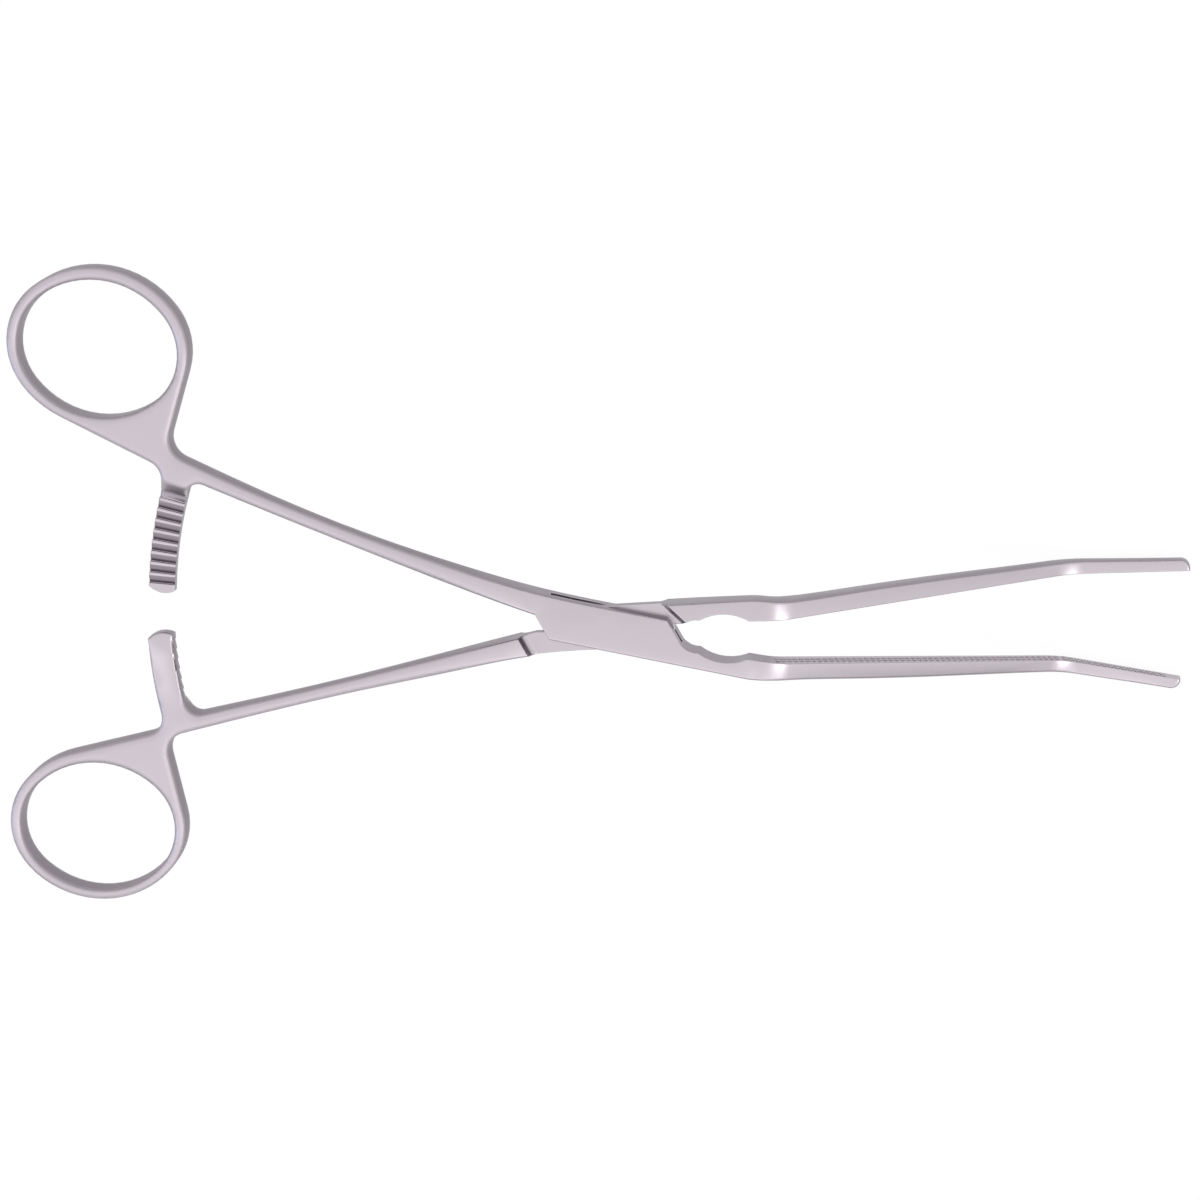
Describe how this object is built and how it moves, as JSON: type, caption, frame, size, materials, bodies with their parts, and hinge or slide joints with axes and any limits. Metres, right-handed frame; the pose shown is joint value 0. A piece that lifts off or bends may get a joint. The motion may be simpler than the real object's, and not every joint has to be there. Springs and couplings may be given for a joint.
{
  "type": "subclavian artery clamp",
  "caption": "Ring-handled box-lock clamp with a ratchet and long bayonet jaws with rows of fine teeth, for holding a blood vessel shut without crushing it.",
  "frame": {"origin": "on the axis of the pivot pin, in the front face of the box", "axes": "+X towards the jaws, +Z out of the front face, along the pin; the jaws step away towards -Z"},
  "size_m": [0.2126, 0.1185, 0.0335],
  "materials": {
    "satin_steel": "satin",
    "pin_steel": "ground flush"
  },
  "bodies": {
    "box_side": {"box_half": "satin_steel", "lock_pin": "pin_steel"},
    "tongue_side": {"tongue_half": "satin_steel"}
  },
  "joints": [
    {"name": "box_lock", "type": "hinge", "parent": "box_side", "child": "tongue_side", "pos_m": [0, 0, -0.0025], "axis": [0, 0, 1], "range_deg": [-11.3, 30]}
  ]
}
